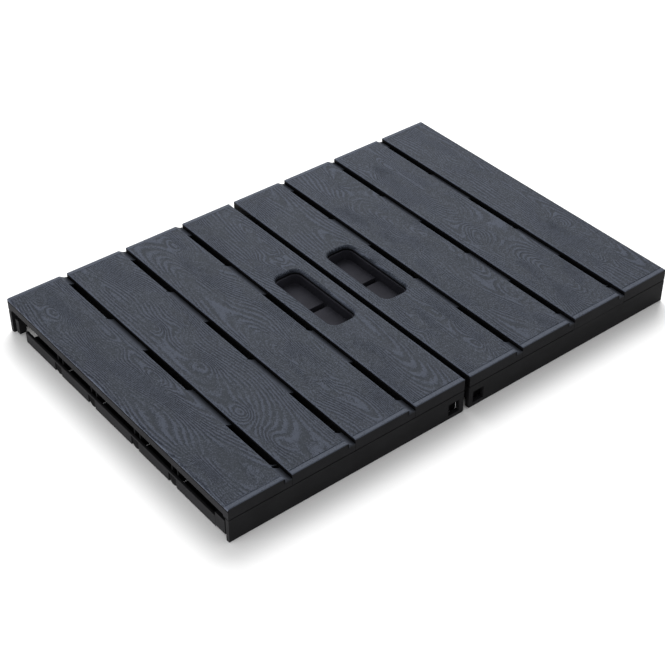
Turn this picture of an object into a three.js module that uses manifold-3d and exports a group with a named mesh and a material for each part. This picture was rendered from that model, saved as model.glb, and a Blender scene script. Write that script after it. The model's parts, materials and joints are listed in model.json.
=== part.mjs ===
// A folding slatted board: two leaves of four wood-grained plastic planks on a hollow frame, joined at the
// seam by two double-pivot links so that the leaves fold underside to underside.
// Frame: millimetres, +X across the planks, +Y along them towards the back, +Z up.
// The origin is on the floor, under the middle of the board.

import * as THREE from 'three';
import { mergeVertices } from 'three/addons/utils/BufferGeometryUtils.js';
import Module from 'manifold-3d';

// ---------------------------------------------------------------- driving dimensions
const boardWidth = 600;        // across both leaves
const boardDepth = 412;        // along the planks
const boardHeight = 44;        // floor to deck
const seamGap = 7.4;           // between the two leaves
const fit = 0.3;               // gap between two mouldings that meet

// planks
const planksPerLeaf = 4;
const grooveWidth = 8.7;       // between two planks
const plankTrim = 2.3;         // the first and last plank of a leaf are this much narrower than the others
const deckThickness = 15;      // parting line to deck
const plankSkin = 4;           // top plate of a plank
const plankWall = 2.6;         // edge walls of a plank
const fasciaLift = 3;          // the outer long edge stops this far above the parting line
const fasciaPost = 8.4;        // full-height length kept at each end of that edge
const stiffenerWall = 2;       // rib along the middle of a plank's underside
const stiffenerLift = 4;       // that rib stops this far above the parting line
const bossSize = 10;           // square screw boss under each end of a plank

// tongues that bridge a groove, and the three slots they leave in it
const tongueDrop = 5;          // deck to tongue
const tongueThickness = 3.5;
const tongueEndWall = 3;       // full-height wall where a tongue meets the front or back face
const middleSlotLength = 82;
const middleBridge = 67;       // between the middle slot and the slot at each end
const endBridge = 21;          // from the front or back face to the first slot
const outerFrontBridge = 19.4; // the same in the outermost grooves
const outerBackBridge = 17;
const slotWebInset = 5.2;      // thin web across the front slot of the outermost grooves
const slotWebWidth = 1.2;

// hand grip
const gripLength = 108;
const gripWidth = 35;
const gripCornerRadius = 10;
const gripLipDepth = 6;        // deck to the cup's rim
const gripCollarWall = 3;
const gripLedge = 1.5;         // the cup is this much smaller all round
const gripDepth = 18.5;        // deck to the cup's floor
const cupWall = 2.2;
const cupFloor = 2.5;
const cupFlange = 2.8;         // how far the cup's flange stands out of its wall
const cupSlit = 7;             // slit across the cup's floor
const cupTroughDepth = 10;     // blind trough under the slit

// end rails
const skirtWall = 5;
const skirtEdgeRadius = 1.5;   // lower outer edge
const seamCornerRadius = 3;    // lower corner beside the seam
const ledgeReach = 14;
const ledgeThickness = 3.7;
const ledgeEndGap = 8;         // the ledge stops this far inside the outer end
const gussetWall = 2.4;
const gussetReach = 10;
const gussetBottom = 9;
const cornerBlockInset = 1.8;  // outer face of the corner block and of the outer rail
const cornerBlockDepth = 8.3;
const cornerBlockBottom = 3;
const cornerBlockTop = 21;
const cornerBlockStart = 9.4;  // from the end face, along the outer side
const frontBlockReach = 25;    // from the front face to the far side of the front corner block
const backBlockReach = 16;

// rails along the sides and ribs across
const seamRailWall = 4;
const seamRailLift = 1.8;      // clear of the other leaf's swing
const outerRailWall = 3.5;
const outerRailBottom = 1;
const outerRailTop = 15;
const outerRailFoot = 22;      // the rail's flat foot reaches this far in from its outer face
const outerRailFootThickness = 2;
const outerRailBackGap = 30;   // the outer rail stops this far short of the back face
const ribWidth = 12;
const ribWall = 2;
const ribBottom = 0.4;
const ribFlangeWidth = 18;
const ribFlangeThickness = 2;
const footHeight = 12;
const footThickness = 2.5;
const footSideGap = 0.5;

// hinge
const pivotOffset = 17;        // pivot to seam centre
const pivotHeight = 13;
const socketSize = 15;         // square opening in the skirt in line with a pivot
const linkHeight = 14;
const linkThickness = 5;
const earThickness = 3;
const earReach = 9;            // pivot to the ear's edge on the seam side
const earBottom = 2.5;
const earCornerRadius = 3;
const earGap = 0.4;            // each side of the link
const bracketReach = 14;       // pivot to the far face of the bracket
const bracketWeb = 4;
const tabThickness = 2.8;
const pinRadius = 3;
const pinClearance = 0.3;
const pinHeadRadius = 5.5;
const pinHeadThickness = 1.8;
const pinHeadToSkirt = 0.5;
const pinRivetRadius = 4;
const pinRivetThickness = 1.3;

// screws
const screwRadius = 1.6;
const screwHoleRadius = 2;
const screwHeadRadius = 3.5;
const screwHeadThickness = 2.2;
const screwBite = 8;           // length held in the plank's boss

// how finely round shapes are faceted
const curveSteps = 6;          // steps of a quarter or half turn in an outline
const roundSteps = 8;          // the same on ribs, feet and hinge parts
const holeSides = 12;
const shankSides = 8;
const pinSides = 20;
const mergeDistance = 1e-4;
const over = 1;                // how far a cutter passes the face it cuts

// ---------------------------------------------------------------- derived places
const halfWidth = boardWidth / 2;
const halfDepth = boardDepth / 2;
const leafInner = seamGap / 2;
const partingZ = boardHeight - deckThickness;
const railTop = partingZ - fit;
const plankRoom = halfWidth - leafInner - (planksPerLeaf - 1) * grooveWidth;
const innerPlankWidth = (plankRoom + 2 * plankTrim) / planksPerLeaf;
const endPlankWidth = innerPlankWidth - plankTrim;
const skirtInner = halfDepth - skirtWall;
const ledgeBottom = railTop - ledgeThickness;
const screwLine = skirtInner - ledgeReach / 2;
const gripCentre = leafInner + endPlankWidth / 2;
const cupRimZ = boardHeight - gripLipDepth - fit;
const cupFloorZ = boardHeight - gripDepth;
const cupBottomZ = cupFloorZ - cupFloor;
const outerFace = halfWidth - cornerBlockInset;
const pinHeadFace = skirtInner - pinHeadToSkirt;
const outerEar = pinHeadFace - pinHeadThickness - fit;
const linkFace = outerEar - earThickness - earGap;
const innerEar = linkFace - linkThickness - earGap;
const bracketTop = ledgeBottom - fit;
const linkTop = pivotHeight + linkHeight / 2;

// Places along the planks are measured from the front edge.
const middleSlot = [(boardDepth - middleSlotLength) / 2, (boardDepth + middleSlotLength) / 2];
const frontSlotEnd = middleSlot[0] - middleBridge;
const backSlotStart = middleSlot[1] + middleBridge;
const innerSlots = [[endBridge, frontSlotEnd], middleSlot, [backSlotStart, boardDepth - endBridge]];
const outerSlots = [[outerFrontBridge, frontSlotEnd], middleSlot, [backSlotStart, boardDepth - outerBackBridge]];
const ribPlaces = [frontSlotEnd, ...middleSlot, backSlotStart];

// Start and width of a leaf's planks, measured from either side of the leaf.
const planks = Array.from({ length: planksPerLeaf }, (_, i) => ({
  start: i === 0 ? 0 : endPlankWidth + grooveWidth + (i - 1) * (innerPlankWidth + grooveWidth),
  width: i === 0 || i === planksPerLeaf - 1 ? endPlankWidth : innerPlankWidth,
}));

// ---------------------------------------------------------------- solids
const wasm = await Module();
wasm.setup();

function toSolid(geometry) {
  const bare = geometry.clone();
  bare.deleteAttribute('normal');
  bare.deleteAttribute('uv');
  const merged = mergeVertices(bare, mergeDistance);
  const vertProperties = new Float32Array(merged.attributes.position.array);
  const triVerts = new Uint32Array(merged.index.array);
  return new wasm.Manifold(new wasm.Mesh({ numProp: 3, vertProperties, triVerts }));
}

function toGeometry(solid) {
  const mesh = solid.getMesh();
  const geometry = new THREE.BufferGeometry();
  geometry.setAttribute('position', new THREE.BufferAttribute(mesh.vertProperties, 3));
  geometry.setIndex(new THREE.BufferAttribute(mesh.triVerts, 1));
  geometry.computeVertexNormals();
  return geometry;
}

function joined(...solids) {
  return solids.reduce((sum, solid) => sum.add(solid));
}

function box(x0, x1, y0, y1, z0, z1) {
  const geometry = new THREE.BoxGeometry(x1 - x0, y1 - y0, z1 - z0);
  geometry.translate((x0 + x1) / 2, (y0 + y1) / 2, (z0 + z1) / 2);
  return toSolid(geometry);
}

const extrudeAxes = {
  x: [new THREE.Vector3(0, 1, 0), new THREE.Vector3(0, 0, 1), new THREE.Vector3(1, 0, 0)],
  y: [new THREE.Vector3(1, 0, 0), new THREE.Vector3(0, 0, 1), new THREE.Vector3(0, -1, 0)],
  z: [new THREE.Vector3(1, 0, 0), new THREE.Vector3(0, 1, 0), new THREE.Vector3(0, 0, 1)],
};

// A flat outline pushed from one place to another along an axis. Along X the outline is (y, z), along Y it is
// (x, z) and along Z it is (x, y).
function prism(outline, axis, from, to, curveSegments = curveSteps) {
  const geometry = new THREE.ExtrudeGeometry(outline, { depth: to - from, bevelEnabled: false, curveSegments });
  geometry.applyMatrix4(new THREE.Matrix4().makeBasis(...extrudeAxes[axis]));
  const shift = { x: [from, 0, 0], y: [0, to, 0], z: [0, 0, from] }[axis];
  geometry.translate(...shift);
  return toSolid(geometry);
}

function roundedRectangle(x, y, width, length, radius) {
  const shape = new THREE.Shape();
  const right = x + width / 2 - radius;
  const left = x - width / 2 + radius;
  const top = y + length / 2 - radius;
  const bottom = y - length / 2 + radius;
  shape.absarc(right, top, radius, 0, Math.PI / 2);
  shape.absarc(left, top, radius, Math.PI / 2, Math.PI);
  shape.absarc(left, bottom, radius, Math.PI, Math.PI * 1.5);
  shape.absarc(right, bottom, radius, Math.PI * 1.5, Math.PI * 2);
  shape.closePath();
  return shape;
}

function roundBar(x, y, z0, z1, radius, sides = holeSides) {
  const geometry = new THREE.CylinderGeometry(radius, radius, z1 - z0, sides);
  geometry.rotateX(Math.PI / 2);
  geometry.translate(x, y, (z0 + z1) / 2);
  return toSolid(geometry);
}

// Pieces are drawn for the right leaf and the back end; the other copies are mirror images.
function mirrored(geometry, sideX, sideY) {
  const copy = geometry.clone();
  copy.scale(sideX, sideY, 1);
  if (sideX * sideY < 0) {
    const index = copy.index.array;
    for (let i = 0; i < index.length; i += 3) {
      [index[i + 1], index[i + 2]] = [index[i + 2], index[i + 1]];
    }
  }
  copy.computeVertexNormals();
  return copy;
}

// ---------------------------------------------------------------- materials
const finishes = {
  deck: { color: 0x54575f, roughness: 0.62, metalness: 0 },
  frame: { color: 0x3b3c40, roughness: 0.6, metalness: 0 },
  grip: { color: 0x2a2b2e, roughness: 0.55, metalness: 0 },
  rubber: { color: 0x17181a, roughness: 0.85, metalness: 0 },
  link: { color: 0x26272a, roughness: 0.45, metalness: 0 },
  steel: { color: 0x9a9ca0, roughness: 0.35, metalness: 1 },
};

const board = new THREE.Group();

function place(name, geometry, finish) {
  const mesh = new THREE.Mesh(geometry, new THREE.MeshStandardMaterial(finishes[finish]));
  mesh.name = name;
  board.add(mesh);
}

// ---------------------------------------------------------------- planks
const leaves = [
  { name: 'left', side: -1, start: -halfWidth },
  { name: 'right', side: 1, start: leafInner },
];

function tongueZones(slots) {
  const zones = [];
  let from = 0;
  for (const [start, end] of slots) {
    zones.push([from, start]);
    from = end;
  }
  zones.push([from, boardDepth]);
  return zones.map(([start, end]) => [start - halfDepth, end - halfDepth]);
}

// Tongues reach over the groove on the plank's right-hand side, and stop just short of the next plank.
function plankTongues(edge, slots, hasWeb) {
  const root = edge - plankWall / 2;
  const tip = edge + grooveWidth - fit;
  const top = boardHeight - tongueDrop;
  const bottom = top - tongueThickness;
  const pieces = tongueZones(slots).map(([start, end]) => box(root, tip, start, end, bottom, top));
  pieces.push(box(root, tip, -halfDepth, -halfDepth + tongueEndWall, partingZ, top));
  pieces.push(box(root, tip, halfDepth - tongueEndWall, halfDepth, partingZ, top));
  if (hasWeb) {
    const web = slots[0][0] + slotWebInset - halfDepth;
    pieces.push(box(root, tip, web - slotWebWidth / 2, web + slotWebWidth / 2, bottom, top));
  }
  return pieces;
}

function makePlank({ left, width, tongue, outerSide, grip }) {
  const right = left + width;
  const middle = (left + right) / 2;
  const skinBottom = boardHeight - plankSkin;
  const wallEnd = halfDepth - plankWall;
  let plank = box(left, right, -halfDepth, halfDepth, partingZ, boardHeight);
  plank = plank.subtract(box(left + plankWall, right - plankWall, -wallEnd, wallEnd, partingZ - over, skinBottom));

  const stiffener = box(middle - stiffenerWall / 2, middle + stiffenerWall / 2, -wallEnd - over, wallEnd + over,
    partingZ + stiffenerLift, skinBottom + over);
  plank = plank.add(stiffener);
  for (const end of [-1, 1]) {
    const bossY = end * screwLine;
    plank = plank.add(box(middle - bossSize / 2, middle + bossSize / 2, bossY - bossSize / 2, bossY + bossSize / 2,
      partingZ, skinBottom + over));
    plank = plank.subtract(roundBar(middle, bossY, partingZ - over, partingZ + screwBite + fit, screwHoleRadius));
  }
  if (outerSide) {
    const face = outerSide < 0 ? left : right;
    const post = halfDepth - fasciaPost;
    plank = plank.subtract(box(face - plankWall - over, face + plankWall + over, -post, post,
      partingZ - over, partingZ + fasciaLift));
  }
  if (grip) {
    const collarWidth = gripWidth + 2 * gripCollarWall;
    const collarLength = gripLength + 2 * gripCollarWall;
    const clearWidth = collarWidth + 2 * cupFlange;
    const clearLength = collarLength + 2 * cupFlange;
    plank = plank.subtract(box(middle - clearWidth / 2, middle + clearWidth / 2, -clearLength / 2, clearLength / 2,
      partingZ - over, skinBottom));
    const collar = roundedRectangle(middle, 0, collarWidth, collarLength, gripCornerRadius + gripCollarWall);
    plank = plank.add(prism(collar, 'z', boardHeight - gripLipDepth, boardHeight - plankSkin / 2));
    const mouth = roundedRectangle(middle, 0, gripWidth, gripLength, gripCornerRadius);
    plank = plank.subtract(prism(mouth, 'z', partingZ - over, boardHeight + over));
  }
  if (tongue) {
    plank = joined(plank, ...plankTongues(right, tongue.slots, tongue.web));
  }
  return toGeometry(plank);
}

leaves.forEach((leaf, leafIndex) => {
  for (let i = 0; i < planksPerLeaf; i += 1) {
    const outermost = leaf.side < 0 ? i === 0 : i === planksPerLeaf - 1;
    const besideSeam = leaf.side < 0 ? i === planksPerLeaf - 1 : i === 0;
    const outerGroove = leaf.side < 0 ? i === 0 : i === planksPerLeaf - 2;
    const lastInLeaf = i === planksPerLeaf - 1;
    const geometry = makePlank({
      left: leaf.start + planks[i].start,
      width: planks[i].width,
      tongue: lastInLeaf ? null : { slots: outerGroove ? outerSlots : innerSlots, web: outerGroove },
      outerSide: outermost ? leaf.side : 0,
      grip: besideSeam,
    });
    place(`plank_${leafIndex * planksPerLeaf + i + 1}`, geometry, 'deck');
  }
});

// ---------------------------------------------------------------- end rails
function skirtOutline() {
  const shape = new THREE.Shape();
  shape.moveTo(skirtInner, railTop);
  shape.lineTo(skirtInner, 0);
  shape.lineTo(halfDepth - skirtEdgeRadius, 0);
  shape.absarc(halfDepth - skirtEdgeRadius, skirtEdgeRadius, skirtEdgeRadius, -Math.PI / 2, 0);
  shape.lineTo(halfDepth, railTop);
  shape.closePath();
  return shape;
}

// What is left of a square corner outside its rounding, beside the seam at the floor.
function seamCornerOutline() {
  const shape = new THREE.Shape();
  shape.moveTo(leafInner - over, -over);
  shape.lineTo(leafInner + seamCornerRadius, -over);
  shape.lineTo(leafInner + seamCornerRadius, 0);
  shape.absarc(leafInner + seamCornerRadius, seamCornerRadius, seamCornerRadius, -Math.PI / 2, -Math.PI, true);
  shape.lineTo(leafInner - over, seamCornerRadius);
  shape.closePath();
  return shape;
}

function plankMiddle(i) {
  return leafInner + planks[i].start + planks[i].width / 2;
}

function makeEndRail(blockReach) {
  let rail = prism(skirtOutline(), 'x', leafInner, halfWidth);
  const ledgeInner = skirtInner - ledgeReach;
  const ledgeFrom = leafInner + seamRailWall + fit;
  rail = rail.add(box(ledgeFrom, halfWidth - ledgeEndGap, ledgeInner, skirtInner + over, ledgeBottom, railTop));
  for (let i = 1; i < planksPerLeaf; i += 1) {
    const gussetX = leafInner + planks[i].start - grooveWidth / 2;
    rail = rail.add(box(gussetX - gussetWall / 2, gussetX + gussetWall / 2, skirtInner - gussetReach,
      skirtInner + over, gussetBottom, ledgeBottom + over));
  }
  const blockBack = outerFace - cornerBlockDepth;
  const blockStart = Math.min(cornerBlockStart, blockReach - skirtWall);
  const webFront = blockBack + outerRailWall;
  rail = rail.add(box(blockBack, outerFace, halfDepth - blockReach, halfDepth - blockStart,
    cornerBlockBottom, cornerBlockTop));
  rail = rail.add(box(blockBack, webFront, halfDepth - blockReach, skirtInner + over,
    cornerBlockBottom, cornerBlockTop));
  const half = socketSize / 2;
  rail = rail.subtract(box(pivotOffset - half, pivotOffset + half, skirtInner - over, halfDepth + over,
    pivotHeight - half, pivotHeight + half));
  rail = rail.subtract(prism(seamCornerOutline(), 'y', skirtInner - over, halfDepth + over));
  for (let i = 0; i < planksPerLeaf; i += 1) {
    rail = rail.subtract(roundBar(plankMiddle(i), screwLine, ledgeBottom - over, railTop + over, screwHoleRadius));
  }
  return toGeometry(rail);
}

const frontRail = makeEndRail(frontBlockReach);
const backRail = makeEndRail(backBlockReach);

// ---------------------------------------------------------------- rails along the sides, ribs and feet
function makeSeamRail() {
  const end = skirtInner - fit;
  const face = leafInner + seamRailWall;
  let rail = box(leafInner, face, -end, end, seamRailLift, railTop);
  const notchStart = linkFace - linkThickness - 2 * earGap - over;
  for (const side of [-1, 1]) {
    const [from, to] = [side * notchStart, side * (end + over)].sort((a, b) => a - b);
    rail = rail.subtract(box(leafInner - over, face + over, from, to, seamRailLift - over, linkTop + earGap));
  }
  return toGeometry(rail);
}

function makeOuterRail() {
  const from = -halfDepth + frontBlockReach + fit;
  const to = halfDepth - outerRailBackGap;
  let rail = box(outerFace - outerRailWall, outerFace, from, to, outerRailBottom, outerRailTop);
  rail = rail.add(box(outerFace - outerRailFoot, outerFace - over, from, to,
    outerRailBottom, outerRailBottom + outerRailFootThickness));
  const notch = ribWidth / 2 + footSideGap;
  for (const ribPlace of ribPlaces) {
    const middle = ribPlace - halfDepth;
    rail = rail.subtract(box(outerFace - outerRailFoot - over, outerFace + over, middle - notch, middle + notch,
      outerRailBottom - over, footHeight + footSideGap));
  }
  return toGeometry(rail);
}

// Round-bottomed channel with a flange each side of its open top.
function ribOutline(middle) {
  const outer = ribWidth / 2;
  const inner = outer - ribWall;
  const flange = ribFlangeWidth / 2;
  const flangeZ = railTop - ribFlangeThickness;
  const round = ribBottom + outer;
  const shape = new THREE.Shape();
  shape.moveTo(middle - flange, railTop);
  shape.lineTo(middle - flange, flangeZ);
  shape.lineTo(middle - outer, flangeZ);
  shape.lineTo(middle - outer, round);
  shape.absarc(middle, round, outer, Math.PI, Math.PI * 2);
  shape.lineTo(middle + outer, flangeZ);
  shape.lineTo(middle + flange, flangeZ);
  shape.lineTo(middle + flange, railTop);
  shape.lineTo(middle + inner, railTop);
  shape.lineTo(middle + inner, round);
  shape.absarc(middle, round, inner, 0, -Math.PI, true);
  shape.lineTo(middle - inner, railTop);
  shape.closePath();
  return shape;
}

function makeCrossRib(ribPlace) {
  const middle = ribPlace - halfDepth;
  const from = leafInner + seamRailWall + fit;
  const to = outerFace - outerRailWall - fit;
  let rib = prism(ribOutline(middle), 'x', from, to, roundSteps);
  const cupHalfLength = gripLength / 2 - gripLedge + cupWall;
  const nearCup = Math.abs(middle) - ribFlangeWidth / 2 < cupHalfLength + over;
  if (nearCup) {
    const reach = gripWidth / 2 - gripLedge + cupWall + over;
    rib = rib.subtract(box(gripCentre - reach, gripCentre + reach, middle - ribFlangeWidth, middle + ribFlangeWidth,
      cupBottomZ - fit, railTop + over));
  }
  return toGeometry(rib);
}

// A plug with a half-round bottom fills each notch of the outer rail and stands on the floor.
function makeFoot(ribPlace) {
  const middle = ribPlace - halfDepth;
  const radius = ribWidth / 2;
  const shape = new THREE.Shape();
  shape.moveTo(middle - radius, footHeight);
  shape.lineTo(middle - radius, radius);
  shape.absarc(middle, radius, radius, Math.PI, Math.PI * 2);
  shape.lineTo(middle + radius, footHeight);
  shape.closePath();
  const back = outerFace - outerRailWall;
  return toGeometry(prism(shape, 'x', back, back + footThickness, roundSteps));
}

// ---------------------------------------------------------------- hand-grip cup
function makeGripCup() {
  const width = gripWidth - 2 * gripLedge;
  const length = gripLength - 2 * gripLedge;
  const radius = gripCornerRadius - gripLedge;
  const outline = (grow) => roundedRectangle(gripCentre, 0, width + 2 * grow, length + 2 * grow, radius + grow);
  let cup = prism(outline(cupWall), 'z', cupBottomZ, cupRimZ);
  cup = cup.add(prism(outline(cupWall + cupFlange), 'z', cupRimZ - cupFloor, cupRimZ));
  const troughX = width / 2 + cupWall;
  const troughY = cupSlit / 2 + cupWall;
  const troughFloorZ = cupFloorZ - cupTroughDepth;
  cup = cup.add(box(gripCentre - troughX, gripCentre + troughX, -troughY, troughY,
    troughFloorZ - cupFloor, cupFloorZ));
  cup = cup.subtract(prism(outline(0), 'z', cupFloorZ, cupRimZ + over));
  cup = cup.subtract(box(gripCentre - width / 2, gripCentre + width / 2, -cupSlit / 2, cupSlit / 2,
    troughFloorZ, cupFloorZ + over));
  return toGeometry(cup);
}

// ---------------------------------------------------------------- hinge
function earOutline() {
  const top = bracketTop;
  const far = pivotOffset + bracketReach;
  const shape = new THREE.Shape();
  const near = pivotOffset - earReach;
  const round = earBottom + earCornerRadius;
  shape.moveTo(near, top);
  shape.lineTo(near, round);
  shape.absarc(near + earCornerRadius, round, earCornerRadius, Math.PI, Math.PI * 1.5);
  shape.absarc(far - earCornerRadius, round, earCornerRadius, -Math.PI / 2, 0);
  shape.lineTo(far, top);
  shape.closePath();
  const hole = new THREE.Path();
  hole.absarc(pivotOffset, pivotHeight, pinRadius + pinClearance, 0, Math.PI * 2);
  shape.holes.push(hole);
  return shape;
}

function makeBracket() {
  const near = innerEar - earThickness;
  const far = pivotOffset + bracketReach;
  const tabEnd = gripCentre + bossSize / 2;
  let bracket = joined(
    prism(earOutline(), 'y', outerEar - earThickness, outerEar, roundSteps),
    prism(earOutline(), 'y', near, innerEar, roundSteps),
    box(pivotOffset - earReach, far, near, outerEar, linkTop + earGap, bracketTop),
    box(far - bracketWeb, far, near, outerEar, pivotHeight, bracketTop),
    box(far - over, tabEnd, near, outerEar, bracketTop - tabThickness, bracketTop),
  );
  bracket = bracket.subtract(roundBar(gripCentre, screwLine, bracketTop - tabThickness - over, bracketTop + over,
    screwHoleRadius));
  return toGeometry(bracket);
}

function makeLink() {
  const radius = linkHeight / 2;
  const shape = new THREE.Shape();
  shape.absarc(pivotOffset, pivotHeight, radius, -Math.PI / 2, Math.PI / 2);
  shape.absarc(-pivotOffset, pivotHeight, radius, Math.PI / 2, Math.PI * 1.5);
  shape.closePath();
  for (const x of [pivotOffset, -pivotOffset]) {
    const hole = new THREE.Path();
    hole.absarc(x, pivotHeight, pinRadius + pinClearance, 0, Math.PI * 2);
    shape.holes.push(hole);
  }
  return toGeometry(prism(shape, 'y', linkFace - linkThickness, linkFace, roundSteps));
}

// Turned in one piece: a flat head, the shank and the closed-over end behind the inner ear.
function makePin() {
  const shankEnd = innerEar - earThickness - fit;
  const tail = shankEnd - pinRivetThickness;
  const neck = pinHeadFace - pinHeadThickness;
  const profile = [
    [0, tail],
    [pinRivetRadius, tail],
    [pinRivetRadius, shankEnd],
    [pinRadius, shankEnd],
    [pinRadius, neck],
    [pinHeadRadius, neck],
    [pinHeadRadius, pinHeadFace],
    [0, pinHeadFace],
  ].map(([radius, height]) => new THREE.Vector2(radius, height));
  const geometry = new THREE.LatheGeometry(profile, pinSides);
  geometry.translate(pivotOffset, 0, pivotHeight);
  return toGeometry(toSolid(geometry));
}

// ---------------------------------------------------------------- screws
// One screw holds each end of a plank down on its ledge; beside the seam it also holds the hinge bracket.
function makeScrew(i) {
  const seat = i === 0 ? bracketTop - tabThickness - fit : ledgeBottom - fit;
  const head = roundBar(plankMiddle(i), screwLine, seat - screwHeadThickness, seat, screwHeadRadius);
  const shank = roundBar(plankMiddle(i), screwLine, seat - over, partingZ + screwBite, screwRadius, shankSides);
  return toGeometry(head.add(shank));
}

// ---------------------------------------------------------------- assembly
const seamRail = makeSeamRail();
const outerRail = makeOuterRail();
const crossRibs = ribPlaces.map(makeCrossRib);
const feet = ribPlaces.map(makeFoot);
const gripCup = makeGripCup();
const bracket = makeBracket();
const link = makeLink();
const pin = makePin();
const screws = Array.from({ length: planksPerLeaf }, (_, i) => makeScrew(i));

for (const leaf of leaves) {
  place(`front_rail_${leaf.name}`, mirrored(frontRail, leaf.side, -1), 'frame');
  place(`back_rail_${leaf.name}`, mirrored(backRail, leaf.side, 1), 'frame');
  place(`seam_rail_${leaf.name}`, mirrored(seamRail, leaf.side, 1), 'frame');
  place(`outer_rail_${leaf.name}`, mirrored(outerRail, leaf.side, 1), 'frame');
  crossRibs.forEach((rib, i) => place(`cross_rib_${leaf.name}_${i + 1}`, mirrored(rib, leaf.side, 1), 'frame'));
  feet.forEach((foot, i) => place(`foot_${leaf.name}_${i + 1}`, mirrored(foot, leaf.side, 1), 'rubber'));
  place(`grip_cup_${leaf.name}`, mirrored(gripCup, leaf.side, 1), 'grip');
  for (const [end, sideY] of [['front', -1], ['back', 1]]) {
    place(`hinge_bracket_${leaf.name}_${end}`, mirrored(bracket, leaf.side, sideY), 'link');
    place(`hinge_pin_${leaf.name}_${end}`, mirrored(pin, leaf.side, sideY), 'steel');
    screws.forEach((screw, i) => {
      place(`screw_${leaf.name}_${end}_${i + 1}`, mirrored(screw, leaf.side, sideY), 'steel');
    });
  }
}
place('hinge_link_front', mirrored(link, 1, -1), 'link');
place('hinge_link_back', mirrored(link, 1, 1), 'link');

export default board;
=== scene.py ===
"""Folding slatted board: two leaves of wood-grained plastic planks on a hollow frame, hinged at the seam."""

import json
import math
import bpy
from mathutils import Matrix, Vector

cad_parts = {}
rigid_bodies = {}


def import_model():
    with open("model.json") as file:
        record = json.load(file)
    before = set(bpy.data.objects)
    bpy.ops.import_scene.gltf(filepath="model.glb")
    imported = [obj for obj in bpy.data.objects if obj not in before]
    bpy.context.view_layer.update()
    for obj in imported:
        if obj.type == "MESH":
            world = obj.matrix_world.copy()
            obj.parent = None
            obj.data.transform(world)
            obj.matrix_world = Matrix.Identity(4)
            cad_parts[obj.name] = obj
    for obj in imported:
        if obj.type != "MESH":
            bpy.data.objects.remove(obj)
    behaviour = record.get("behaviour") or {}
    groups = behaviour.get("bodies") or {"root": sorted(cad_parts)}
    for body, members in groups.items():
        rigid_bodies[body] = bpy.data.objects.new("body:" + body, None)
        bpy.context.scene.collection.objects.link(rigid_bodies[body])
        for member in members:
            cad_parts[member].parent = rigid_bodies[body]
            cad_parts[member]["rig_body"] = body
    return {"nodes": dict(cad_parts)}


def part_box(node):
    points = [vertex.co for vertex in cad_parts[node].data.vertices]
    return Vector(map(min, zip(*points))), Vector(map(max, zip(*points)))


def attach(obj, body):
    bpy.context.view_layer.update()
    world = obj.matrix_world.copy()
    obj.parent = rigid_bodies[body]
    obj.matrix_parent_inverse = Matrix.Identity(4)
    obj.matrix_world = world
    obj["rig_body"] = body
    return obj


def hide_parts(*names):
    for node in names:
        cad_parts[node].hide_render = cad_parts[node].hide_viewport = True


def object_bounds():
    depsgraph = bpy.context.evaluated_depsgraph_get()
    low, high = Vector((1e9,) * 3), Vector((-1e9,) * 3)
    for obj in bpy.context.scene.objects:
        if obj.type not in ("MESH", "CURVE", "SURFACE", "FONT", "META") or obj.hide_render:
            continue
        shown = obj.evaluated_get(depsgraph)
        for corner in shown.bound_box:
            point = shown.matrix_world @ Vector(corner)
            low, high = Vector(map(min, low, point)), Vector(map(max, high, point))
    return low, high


bl_info = {
    "name": "Folding Slatted Board",
    "version": (1, 0, 0),
    "blender": (4, 5, 0),
    "location": "3D View > Sidebar > Board",
    "description": "Makes the detailed pieces of a folding slatted board around its packed frame",
    "category": "Object",
}

import bmesh
import bpy
import numpy as np
from mathutils import Matrix, Vector

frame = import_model()

MM = 0.001
CAD_BOX = [list(corner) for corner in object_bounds()]
DECK_TOP = CAD_BOX[1][2]
LEAVES = ("left", "right")
ENDS = ("front", "back")
PLANKS = [f"plank_{number}" for number in range(1, 9)]
PLANKS_PER_LEAF = len(PLANKS) // len(LEAVES)
GRIP_PLANKS = (PLANKS_PER_LEAF, PLANKS_PER_LEAF + 1)

# Reading the CAD meshes
WELD = 0.002 * MM                   # vertices closer than this are one
FLAT = math.radians(0.4)            # faces that meet at less than this are one
NEAR = 0.05 * MM                    # a vertex this close to a plane lies in it
HARD = math.radians(40.0)           # edges sharper than this are rounded

# Tongues that bridge the grooves between the planks
TONGUE_TOP = DECK_TOP - 5.0 * MM            # height of their tops in the CAD
TONGUE_COVER_BOTTOM = DECK_TOP - 6.6 * MM   # height at which their covers meet the CAD body
TONGUE_REACH = 8.35 * MM                    # from the plank's right edge
SHOULDER_DROP = 1.08 * MM                   # fall of the plank's top at that edge


# ------------------------------------------------------------------ settings
def length_setting(name, description, value):
    """A length in metres."""
    return bpy.props.FloatProperty(name=name, description=description, default=value, unit="LENGTH")


def angle_setting(name, description, degrees):
    """An angle, given in degrees."""
    return bpy.props.FloatProperty(
        name=name, description=description, default=math.radians(degrees), subtype="ANGLE")


def colour_setting(name, description, value):
    """A colour as linear light."""
    return bpy.props.FloatVectorProperty(
        name=name, description=description, default=value, subtype="COLOR", size=3)


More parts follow.
